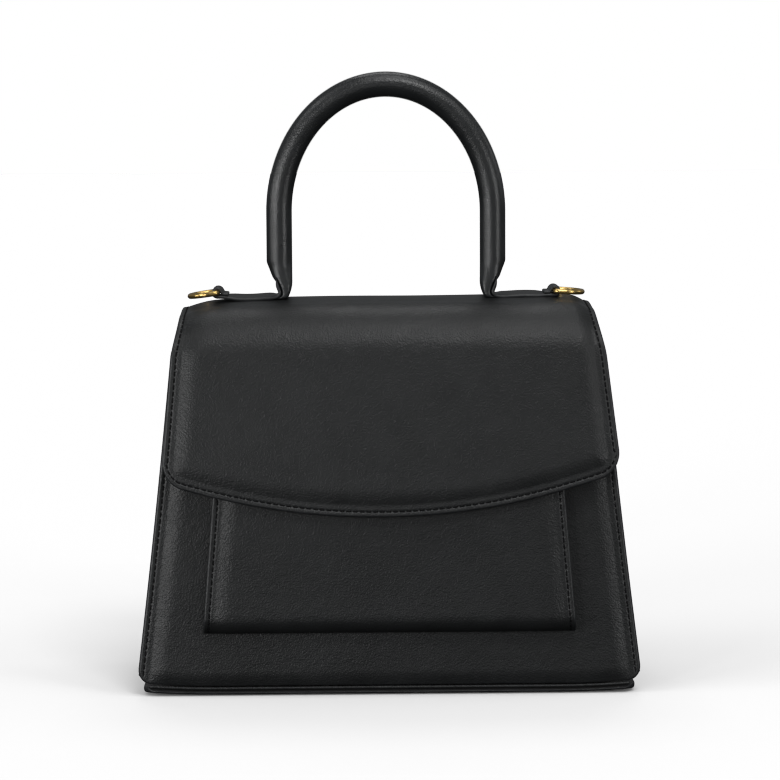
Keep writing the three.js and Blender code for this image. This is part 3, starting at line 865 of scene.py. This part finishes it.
def pocket_shape():
    total = POCKET_PROFILE[0][-1]
    columns = lines_across(FINE_INSETS, middle_lines(POCKET_BOTTOM_WIDTH))
    rows = lines_across(FINE_INSETS, middle_lines(total))

    def shape(cut, depth, padded):
        along = between(rows, np.zeros(1), np.full(1, total), cut)
        along = np.broadcast_to(along, (rows.shape[1], columns.shape[1]))

        def lift(x, half, out):
            inset = half - np.abs(x)
            share = pad_share(inset, POCKET_BORDER) * ease(out)
            rise = share * (POCKET_PAD + 0.15 * waves(x, along, 4.0)) - groove(inset) * ease(out)
            return x, padded * rise - depth

        return pocket_point(lambda half: across(columns, half, cut), along, lift)

    return shape


def pocket_stitches():
    rows = []
    total = POCKET_PROFILE[0][-1]
    for end in (-1, 1):
        along = np.linspace(0.35 * POCKET_CURL, total - 2, 90)
        path = pocket_point(lambda half: end * (half - STITCH_INSET), along,
                            lambda x, half, out: (x, -GROOVE_DEPTH * ease(out)))
        _, _, out, up = look_up(POCKET_PROFILE, along)
        rows.append((path, np.stack([0 * out, -out, up], axis=1)))
    return rows


def pocket_gusset_shape(side):
    stand = POCKET_STAND - LEATHER_GAP - POCKET_THICKNESS

    def depth_at(z):
        short = np.clip((POCKET_BOTTOM + POCKET_CURL - z) / (POCKET_CURL - POCKET_THICKNESS), 0, 1)
        return stand * np.sqrt(1 - short**2) - LEATHER_GAP

    low = POCKET_BOTTOM + 0.6 * POCKET_CURL
    high = POCKET_BOTTOM + POCKET_HEIGHT - 2 * POCKET_BORDER
    return gusset_shape(
        side=side,
        edge=pocket_half_width,
        near=lambda z: -pocket_ground(z) - depth_at(z),
        far=lambda z: -pocket_ground(z),
        low=lambda x, y: low + 0 * (x + y),
        high=lambda x, y: high + 0 * (x + y),
        inset=POCKET_GUSSET_INSET,
        bend=POCKET_GUSSET_BEND,
        fold=lambda z: POCKET_GUSSET_FOLD + 0 * z,
        thickness=POCKET_GUSSET_THICKNESS,
        middle=middle_lines(high - low),
    )


def make_pocket():
    face = sheet_object("pocket_face_leather", pocket_shape(), POCKET_THICKNESS, SKIN)
    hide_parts("pocket_face")
    stitch_object("pocket_stitches", pocket_stitches(), [THREAD, HOLE_PAINTED_SHADE])
    for name, side in (("left", -1), ("right", 1)):
        wall = sheet_object(f"pocket_gusset_{name}_leather", pocket_gusset_shape(side),
                            POCKET_GUSSET_THICKNESS, SKIN)
        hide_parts(f"pocket_gusset_{name}")


# Flap

def flap_half_width(z):
    tuck = FLAP_TOP_TUCK * ease((z - (FLAP_LEVEL - FLAP_FRONT_ROLL)) / FLAP_FRONT_ROLL)
    return panel_half_width(z) - FLAP_SETBACK - tuck


def arc_points(y, z, radius, start, stop, count):
    angle = np.linspace(start, stop, count)
    c, s = np.cos(angle), np.sin(angle)
    return np.stack([y + radius * c, z + radius * s, c, s], axis=1)


def flap_profile():
    """The flap's outer face from its end on the back panel over the top and down its front."""
    pocket_front = pocket_ground(SNAP_HEIGHT) + POCKET_STAND - LEATHER_GAP + POCKET_PAD
    front = pocket_front + SNAP_SPACE + FLAP_THICKNESS / math.cos(FLAP_LEAN)
    back_face = lambda z: panel_reach(z) + LEATHER_GAP + FLAP_THICKNESS
    front_face = lambda z: -front + (z - SNAP_HEIGHT) * math.tan(FLAP_LEAN)
    back_centre = FLAP_LEVEL - FLAP_BACK_ROLL
    front_centre = FLAP_LEVEL - FLAP_FRONT_ROLL
    back_y = back_face(back_centre) - FLAP_BACK_ROLL / math.cos(PANEL_LEAN)
    front_y = front_face(front_centre) + FLAP_FRONT_ROLL / math.cos(FLAP_LEAN)
    z = np.linspace(PANEL_TOP - FLAP_BACK_LENGTH, back_centre, 12)[:-1]
    flat = np.stack([back_face(z), z, 0 * z + math.cos(PANEL_LEAN), 0 * z + math.sin(PANEL_LEAN)], axis=1)
    back_roll = arc_points(back_y, back_centre, FLAP_BACK_ROLL, PANEL_LEAN, math.pi / 2, 30)
    share = np.linspace(-1, 1, 30)[1:-1]
    y = lerp((back_y + front_y) / 2, front_y, share)
    crown = CROWN_LAID * (1 - share**2) ** 1.5 * (1 - CROWN_SKEW * share)
    slope = np.gradient(crown, y)
    top = np.stack([y, FLAP_LEVEL + crown, -slope, 0 * y + 1], axis=1)
    top[:, 2:] /= np.linalg.norm(top[:, 2:], axis=1, keepdims=True)
    front_roll = arc_points(front_y, front_centre, FLAP_FRONT_ROLL, math.pi / 2, math.pi - FLAP_LEAN, 50)
    drop = np.linspace(0, (front_roll[-1, 1] - FLAP_TIP) / math.cos(FLAP_LEAN) + 5, 60)[1:]
    s, c = math.sin(FLAP_LEAN), math.cos(FLAP_LEAN)
    end_y, end_z = front_roll[-1, :2]
    hang = np.stack([end_y - drop * s, end_z - drop * c, 0 * drop - c, 0 * drop + s], axis=1)
    table = np.concatenate([flat, back_roll, top, front_roll, hang])
    along = arc_lengths(table[:, :2])
    hinge = len(table) - len(hang) - 1
    return (along, table), along[hinge], table[hinge, 1]


FLAP_PROFILE, FLAP_HINGE, FLAP_HINGE_Z = flap_profile()
FLAP_LOWER_HALF = float(flap_half_width(FLAP_TIP + FLAP_SWEEP))


def flap_arc(x):
    """Height of the flap's lower edge before its corners are rounded."""
    radius = (FLAP_LOWER_HALF**2 + FLAP_SWEEP**2) / (2 * FLAP_SWEEP)
    return FLAP_TIP + radius - np.sqrt(radius**2 - np.clip(x, -FLAP_LOWER_HALF, FLAP_LOWER_HALF) ** 2)


def flap_edge(x):
    """The same lower edge on the flap as it hangs, a little askew."""
    return flap_arc(x) + x * math.tan(FLAP_SKEW)


def flap_length(height):
    """Way along the flap's profile to a height on its hanging front."""
    return FLAP_HINGE + (FLAP_HINGE_Z - height) / math.cos(FLAP_LEAN)


def flap_sink(x):
    """How far the flap's top sinks: most at its left end, least on the right."""
    start = np.where(x < 0, DROOP_FROM_LEFT, FLAP_LEVEL_WIDTH / 2)
    past = np.maximum(np.abs(x) - start, 0) / (flap_half_width(FLAP_LEVEL) - start)
    return np.where(x < 0, DROOP_LEFT, DROOP_RIGHT) * past**2 - x * math.tan(TOP_TILT)


def flap_point(x, along, rise):
    y, z, ny, nz = look_up(FLAP_PROFILE, along)
    swing = np.where(y > 0, 0.0, np.maximum(FLAP_LEVEL - z, 0) * math.tan(FLAP_SKEW))
    return np.stack([x + swing, y + rise * ny, z + rise * nz - flap_sink(x) * np.maximum(nz, 0)], axis=-1)


def flap_normal(along):
    _, _, ny, nz = look_up(FLAP_PROFILE, along)
    return np.stack([0 * ny, ny, nz], axis=-1)


def flap_distances(x, along):
    """Distances to the nearer side and to the lower edge, corners left square."""
    _, z, _, _ = look_up(FLAP_PROFILE, along)
    return flap_half_width(z) - np.abs(x), flap_length(flap_edge(x)) - along


def flap_shape():
    columns = lines_across(FINE_INSETS, middle_lines(BASE_WIDTH))
    rows = lines_across(FINE_INSETS, middle_lines(flap_length(FLAP_TIP)))

    def shape(cut, depth, padded):
        x0 = across(columns, FLAP_LOWER_HALF, cut)
        corner = corner_rise(FLAP_LOWER_HALF - cut - np.abs(x0), FLAP_CORNER_RADIUS - cut)
        total = flap_length(flap_edge(x0) + corner)
        along = between(rows, 0 * total, total, cut)
        _, z, _, up = look_up(FLAP_PROFILE, along)
        x = across(columns, flap_half_width(z), cut)
        side, tip = flap_distances(x, along)
        distance = edge_distance(side, tip, FLAP_CORNER_RADIUS)
        over = ease(up)
        soft = np.where(x < 0, 13.0, 7.0)
        share = crown((distance - lerp(FLAP_BORDER, 3.2, over)) / lerp(PAD_BEVEL, soft, over))
        share = share * pad_share(along, FLAP_BORDER)
        rise = share * (FLAP_PAD + 0.2 * waves(x, along, 7.0))
        rise = rise - groove(distance) * ease(along / 3) - groove(along) * ease(side / 3)
        return flap_point(x, along, padded * rise - depth)

    return shape


def flap_stitches():
    """One row round the flap's sides, corners and lower edge, and one at the back."""
    inset, radius = STITCH_INSET, FLAP_CORNER_RADIUS

    def side_row(end):
        along = np.linspace(inset, flap_length(flap_edge(end * FLAP_LOWER_HALF) + radius), 160)
        _, z, _, _ = look_up(FLAP_PROFILE, along)
        return end * (flap_half_width(z) - inset), along

    def corner_row(end):
        x = end * (FLAP_LOWER_HALF - corner_inset)
        return x, flap_length(flap_edge(x)) - corner_tip

    turn = np.linspace(0, math.pi / 2, 24)[1:-1]
    corner_inset = radius - (radius - inset) * np.cos(turn)
    corner_tip = radius - (radius - inset) * np.sin(turn)
    lower_x = np.linspace(-(FLAP_LOWER_HALF - radius), FLAP_LOWER_HALF - radius, 160)
    lower = (lower_x, flap_length(flap_edge(lower_x)) - inset)
    runs = [side_row(-1), corner_row(-1), lower, [run[::-1] for run in corner_row(1)],
            [run[::-1] for run in side_row(1)]]
    x = np.concatenate([run[0] for run in runs])
    along = np.concatenate([run[1] for run in runs])
    front = (flap_point(x, along, -GROOVE_DEPTH), flap_normal(along))
    reach = flap_half_width(PANEL_TOP - FLAP_BACK_LENGTH) - inset
    back_x = np.linspace(-reach, reach, 120)
    back_along = np.full_like(back_x, inset)
    back = (flap_point(back_x, back_along, -GROOVE_DEPTH), flap_normal(back_along))
    return [front, back]


def make_flap():
    flap = sheet_object("flap_leather", flap_shape(), FLAP_THICKNESS, SKIN)
    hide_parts("flap")
    stitch_object("flap_stitches", flap_stitches(), [THREAD, HOLE_PAINTED_SHADE])
    snap = bpy.data.objects["snap_disc"]
    for slot in snap.material_slots:
        slot.material = STEEL


# Handle, tabs and rings

def handle_path():
    foot = BODY_HEIGHT + LEATHER_GAP
    leg = np.linspace(foot, BODY_HEIGHT + HANDLE_SHOULDER, 45)[:-1]
    left = np.stack([0 * leg - HANDLE_SPAN / 2, 0 * leg, leg], axis=1)
    angle = np.linspace(math.pi, 0, 130)
    arch = np.stack([HANDLE_SPAN / 2 * np.cos(angle), 0 * angle,
                     BODY_HEIGHT + HANDLE_SHOULDER + HANDLE_RISE * np.sin(angle)], axis=1)
    right = left[::-1] * np.array([-1.0, 1.0, 1.0])
    return np.concatenate([left, arch, right])


def foot_outer(z):
    """Reach of the handle's outer side from its middle line: it slopes in towards the foot."""
    rise = np.clip(z - FOLD_HEIGHT, 0, FOOT_TAPER)
    return FOOT_THICKNESS - HANDLE_RADIUS + rise * math.tan(FOOT_LEAN)


def foot_inner(z):
    """Reach of the handle's inner side: it tucks in where the foot meets the flap."""
    share = np.clip(1 - (z - BODY_HEIGHT - LEATHER_GAP) / FOOT_TUCK_RISE, 0, 1)
    return HANDLE_RADIUS - FOOT_TUCK * share**2


def under_bend(z):
    """How far the foot swells to fill the hollow under the tab's bend."""
    reach = TAB_BEND + TAB_THICKNESS / 2
    short = np.clip(FOLD_HEIGHT - z, 0, reach)
    return reach - math.sqrt(reach**2 - short**2)


def leaf_top():
    length = TAB_LEAF + TAB_THICKNESS / 2 * math.tan(FOOT_LEAN)
    return FOLD_HEIGHT + TAB_BEND * math.sin(FOOT_LEAN) + length * math.cos(FOOT_LEAN)


def leaf_thickness(below):
    """Thickness of the tab's leaf, skived thin towards its end on the foot."""
    return TAB_THICKNESS * ease((below + 0.4) / LEAF_SKIVE)


def handle_rings(sides=40):
    path = handle_path()
    tangent, _, _ = frames_along(path, np.array([0.0, 1.0, 0.0]))
    outward = np.stack([-tangent[:, 2], 0 * tangent[:, 0], tangent[:, 0]], axis=1)
    rings = []
    for point, out in zip(path, outward):
        z = point[2]
        leaf = leaf_thickness(leaf_top() - z) / math.cos(FOOT_LEAN)
        flat = float(ease((FOLD_HEIGHT + FOOT_TAPER - z) / FOOT_TAPER))
        half = lerp(HANDLE_RADIUS, FOOT_WIDTH / 2, flat)
        outer = float(foot_outer(z)) - leaf + under_bend(z)
        inner = foot_inner(z)
        power = 2 / lerp(2.0, 4.2, flat)
        angle = 2 * math.pi * (np.arange(sides) + 0.5) / sides
        c, s = np.cos(angle), np.sin(angle)
        wide = np.sign(c) * np.abs(c) ** power
        deep = np.sign(s) * np.abs(s) ** power
        offset = (outer - inner) / 2 + wide * (outer + inner) / 2
        rings.append(point + offset[:, None] * out + np.outer(half * deep, [0.0, 1.0, 0.0]))
    return np.array(rings)


def tab_path(name, count):
    """Middle line of the right tab: from its end on top, round the bar, back and up the foot."""
    angle = np.linspace(LOOP_START, -math.pi / 2, 36)
    wrap = WIRE_RADIUS + LOOP_PLAY + TAB_THICKNESS / 2
    loop = np.stack([BAR_REACH + wrap * np.cos(angle), BAR_HEIGHT + wrap * np.sin(angle)], axis=1)
    face_x = HANDLE_SPAN / 2 + FOOT_THICKNESS - HANDLE_RADIUS - TAB_THICKNESS / 2 / math.cos(FOOT_LEAN)
    bend_x = face_x + TAB_BEND / math.cos(FOOT_LEAN)
    share = np.linspace(0, 1, 40)
    level = lerp(BAR_HEIGHT - wrap, TAB_LEVEL, ease(2.5 * share))
    run = np.stack([lerp(BAR_REACH, bend_x, share), level], axis=1)
    run[:, 1] -= STRAP_SAG[name] * np.sin(math.pi * share) ** 2
    end = np.linspace(TAB_RETURN, -wrap * math.cos(LOOP_START) + 0.9, 8)
    level = np.interp(end, BAR_REACH - run[:, 0], run[:, 1]) + TAB_THICKNESS
    back = np.stack([BAR_REACH - end, level], axis=1)
    angle = -math.pi / 2 - np.linspace(0, math.pi / 2 + FOOT_LEAN, 16)
    bend = np.stack([bend_x + TAB_BEND * np.cos(angle), FOLD_HEIGHT + TAB_BEND * np.sin(angle)], axis=1)
    leaf = bend[-1:] + TAB_LEAF * np.array([[math.sin(FOOT_LEAN), math.cos(FOOT_LEAN)]])
    path = np.concatenate([back, loop, run[1:-1], bend, leaf])
    even = at_lengths(path, np.linspace(0, arc_lengths(path)[-1], count))
    for _ in range(6):
        even[1:-1] = (even[:-2] + 2 * even[1:-1] + even[2:]) / 4
    return even


def tab_shape(name, turn):
    path = tab_path(name, 400)
    total = arc_lengths(path)[-1]
    step = np.gradient(path, axis=0)
    step /= np.linalg.norm(step, axis=1, keepdims=True)
    table = (arc_lengths(path), np.hstack([path, np.stack([step[:, 1], -step[:, 0]], axis=1)]))
    columns = lines_across([0, 0.2, 0.5, 0.9, 1.3, 1.6, 2.0, 2.4, 3.0, 3.8], 8)
    rows = lines_across([0, 0.4, 0.9, 1.5], 150)
    loop = LOOP_RADIUS * (LOOP_START + math.pi / 2) + TAB_RETURN

    def shape(cut, depth, padded):
        along = between(rows, np.zeros(1), np.full(1, total), cut)
        x, z, nx, nz = look_up(table, along)
        y = across(columns, TAB_WIDTH / 2, cut)
        y = np.broadcast_to(y, (x.shape[0], y.shape[-1]))
        thick = np.maximum(leaf_thickness(total - along), 0.2)
        out = (1 - depth / TAB_THICKNESS) * thick - TAB_THICKNESS / 2
        out = out - padded * 0.15 * np.exp(-(((TAB_WIDTH / 2 - np.abs(y) - 2) / 0.5) ** 2))
        lean = ease((along - loop) / 8) * ease((total - TAB_LEAF - 2 - along) / 5)
        return np.stack([turn * (x + out * nx), y, z + out * nz + STRAP_TILT * y * lean], axis=-1)

    return shape, table, total


def tab_object(name, turn):
    shape, table, total = tab_shape(name, turn)
    tab = sheet_object(f"tab_{name}_leather", shape, TAB_THICKNESS, [LEATHER, EDGE, LEATHER])
    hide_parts(f"tab_{name}")
    under = LOOP_RADIUS * (LOOP_START + math.pi / 2) + TAB_RETURN
    along = np.linspace(under + TAB_RETURN + 1.5, total - 1.5, 90)
    x, z, nx, nz = look_up(table, along)
    rows = []
    for side in (-1, 1):
        y = np.full_like(x, side * (TAB_WIDTH / 2 - 2))
        out = -(TAB_THICKNESS / 2 - 0.15)
        lean = ease((along - under) / 8) * ease((total - TAB_LEAF - 2 - along) / 5)
        path = np.stack([turn * (x + out * nx), y, z + out * nz + STRAP_TILT * y * lean], axis=1)
        rows.append((path, np.stack([-turn * nx, 0 * nx, -nz], axis=1)))
    stitch_object(f"tab_{name}_stitches", rows, [THREAD, HOLE_PAINTED_SHADE], pitch=2.8)


def ring_object(name, turn, body):
    """A D-ring of polished round wire, its straight bar in the tab's loop."""
    half = TAB_WIDTH / 2 + 2 * LEATHER_GAP + WIRE_RADIUS
    angle = np.linspace(math.pi / 2, -math.pi / 2, 70)
    bow = np.stack([RING_SHANK + (RING_DEPTH - RING_SHANK) * np.cos(angle), half * np.sin(angle)], axis=1)
    corner = 1.6
    round_angle = np.linspace(math.pi, math.pi / 2, 12)
    c, s = np.cos(round_angle), np.sin(round_angle)
    top = np.stack([corner + corner * c, half - corner + corner * s], axis=1)
    bottom = (top * np.array([1.0, -1.0]))[::-1]
    bar = np.stack([np.zeros(16), np.linspace(-(half - corner), half - corner, 18)[1:-1]], axis=1)
    outline = np.concatenate([bar, top, bow, bottom])
    sides, rings = 20, []
    count = len(outline)
    for i, point in enumerate(outline):
        step = outline[(i + 1) % count] - outline[i - 1]
        step /= np.linalg.norm(step)
        turn_angle = 2 * math.pi * np.arange(sides) / sides
        across_ = WIRE_RADIUS * np.cos(turn_angle)
        ring = np.stack([point[0] - step[1] * across_, point[1] + step[0] * across_,
                         WIRE_RADIUS * np.sin(turn_angle)], axis=1)
        rings.append(ring)
    rings = np.array(rings)
    tilt = RING_TILTS[name]
    tilted = np.stack([
        rings[..., 0] * math.cos(tilt) + rings[..., 2] * math.sin(tilt),
        rings[..., 1],
        -rings[..., 0] * math.sin(tilt) + rings[..., 2] * math.cos(tilt),
    ], axis=-1)
    placed = (tilted + np.array([BAR_REACH, 0.0, BAR_HEIGHT])) * np.array([turn, turn, 1.0])
    piece = rod_object(f"ring_{name}_wire", placed, [GOLD], body=body, loop=True)
    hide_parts(f"ring_{name}")


def make_handle():
    handle = rod_object("handle_leather", handle_rings(), [HANDLE_LEATHER])
    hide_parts("handle")
    for name, turn in (("left", -1), ("right", 1)):
        tab_object(name, turn)
        ring_object(name, turn, f"{name}_ring")


# Studio

LIGHT_DISTANCE = 1.6
LENS = 135.5
CAMERA_PLACE = (-0.0249, -1.3998, 0.272)
CAMERA_YAW, CAMERA_PITCH, CAMERA_ROLL = (math.radians(angle) for angle in (1.08, -5.39, -0.29))


def floor_material():
    """A dark sweep: it only catches the bag's shadow and throws little light back."""
    material, tree, shader, place = principled("studio_floor")
    tree.links.new(ramp(tree, noise(tree, place, 3.0), (0.045, 0.045, 0.045), (0.055, 0.055, 0.055)),
                   shader.inputs["Base Color"])
    shader.inputs["Roughness"].default_value = 0.9
    shader.inputs["Specular IOR Level"].default_value = 0.0
    return material


def make_floor():
    half = 12.0
    mesh = bpy.data.meshes.new("studio_floor")
    corners = [(-half, -half, 0), (half, -half, 0), (half, half, 0), (-half, half, 0)]
    mesh.from_pydata([(x, y, -0.0002) for x, y, _ in corners], [], [(0, 1, 2, 3)])
    mesh.materials.append(floor_material())
    floor = bpy.data.objects.new("studio_floor", mesh)
    bpy.context.scene.collection.objects.link(floor)
    floor.is_shadow_catcher = True


def make_world():
    """A dim even room, seen by the camera as plain white."""
    world = bpy.data.worlds.new("studio")
    world.use_nodes = True
    tree = world.node_tree
    tree.nodes.clear()
    output = tree.nodes.new("ShaderNodeOutputWorld")
    mix = tree.nodes.new("ShaderNodeMixShader")
    path = tree.nodes.new("ShaderNodeLightPath")
    room = tree.nodes.new("ShaderNodeBackground")
    seen = tree.nodes.new("ShaderNodeBackground")
    room.inputs["Color"].default_value = (0.93, 0.97, 1.0, 1.0)
    room.inputs["Strength"].default_value = 0.14
    seen.inputs["Color"].default_value = (1.0, 1.0, 1.0, 1.0)
    seen.inputs["Strength"].default_value = 1.0
    tree.links.new(path.outputs["Is Camera Ray"], mix.inputs["Fac"])
    tree.links.new(room.outputs["Background"], mix.inputs[1])
    tree.links.new(seen.outputs["Background"], mix.inputs[2])
    tree.links.new(mix.outputs["Shader"], output.inputs["Surface"])
    bpy.context.scene.world = world


def soft_light(name, azimuth, elevation, distance, width, height, power):
    """A softbox on a sphere round the bag, turned to it; azimuth 0 is in front, 90 on the right."""
    target = Vector((0.0, 0.0, 0.14))
    a, e = math.radians(azimuth), math.radians(elevation)
    away = Vector((math.sin(a) * math.cos(e), -math.cos(a) * math.cos(e), math.sin(e)))
    data = bpy.data.lights.new(name, "AREA")
    data.shape = "RECTANGLE"
    data.size, data.size_y = width, height
    data.energy = power
    light = bpy.data.objects.new(name, data)
    light.location = target + away * distance
    light.rotation_mode = "QUATERNION"
    light.rotation_quaternion = away.to_track_quat("Z", "Y")
    bpy.context.scene.collection.objects.link(light)


def make_lights():
    """Softboxes fitted to the photograph: above, a window on the left, less on the right."""
    for name, azimuth, elevation, width, height, power in (
        ("top_front", 14, 46, 0.55, 0.35, 4.4),
        ("overhead", 20, 74, 0.9, 0.6, 3.0),
        ("front_low", 6, 3, 0.6, 0.3, 0.4),
        ("left_window", -45, 6, 0.4, 0.6, 4.0),
        ("left_near", -28, 6, 0.2, 0.6, 2.5),
        ("left_side", -72, 8, 0.5, 0.5, 2.4),
        ("left_high", -68, 46, 0.6, 0.5, 1.8),
        ("right_low", 48, 6, 0.4, 0.5, 3.0),
        ("right_high", 60, 46, 0.6, 0.5, 1.2),
        ("behind", 180, 64, 0.7, 0.5, 2.4),
        ("right_side", 100, 20, 0.5, 0.6, 0.8),
    ):
        soft_light(name, azimuth, elevation, LIGHT_DISTANCE, width, height, power)


def make_camera():
    """The viewpoint of the photograph: in front, a little to the left and above the bag's own height."""
    level = math.cos(CAMERA_PITCH)
    ahead = Vector((math.sin(CAMERA_YAW) * level, math.cos(CAMERA_YAW) * level, math.sin(CAMERA_PITCH)))
    data = bpy.data.cameras.new("camera")
    data.sensor_width = 36.0
    data.lens = LENS
    camera = bpy.data.objects.new("camera", data)
    turn = (-ahead).to_track_quat("Z", "Y").to_matrix().to_4x4() @ Matrix.Rotation(CAMERA_ROLL, 4, "Z")
    camera.matrix_world = Matrix.Translation(CAMERA_PLACE) @ turn
    bpy.context.scene.collection.objects.link(camera)
    bpy.context.scene.camera = camera
    bpy.context.scene.view_settings.view_transform = "Standard"


make_camera()
make_body()
make_pocket()
make_flap()
make_handle()
make_floor()
make_world()
make_lights()

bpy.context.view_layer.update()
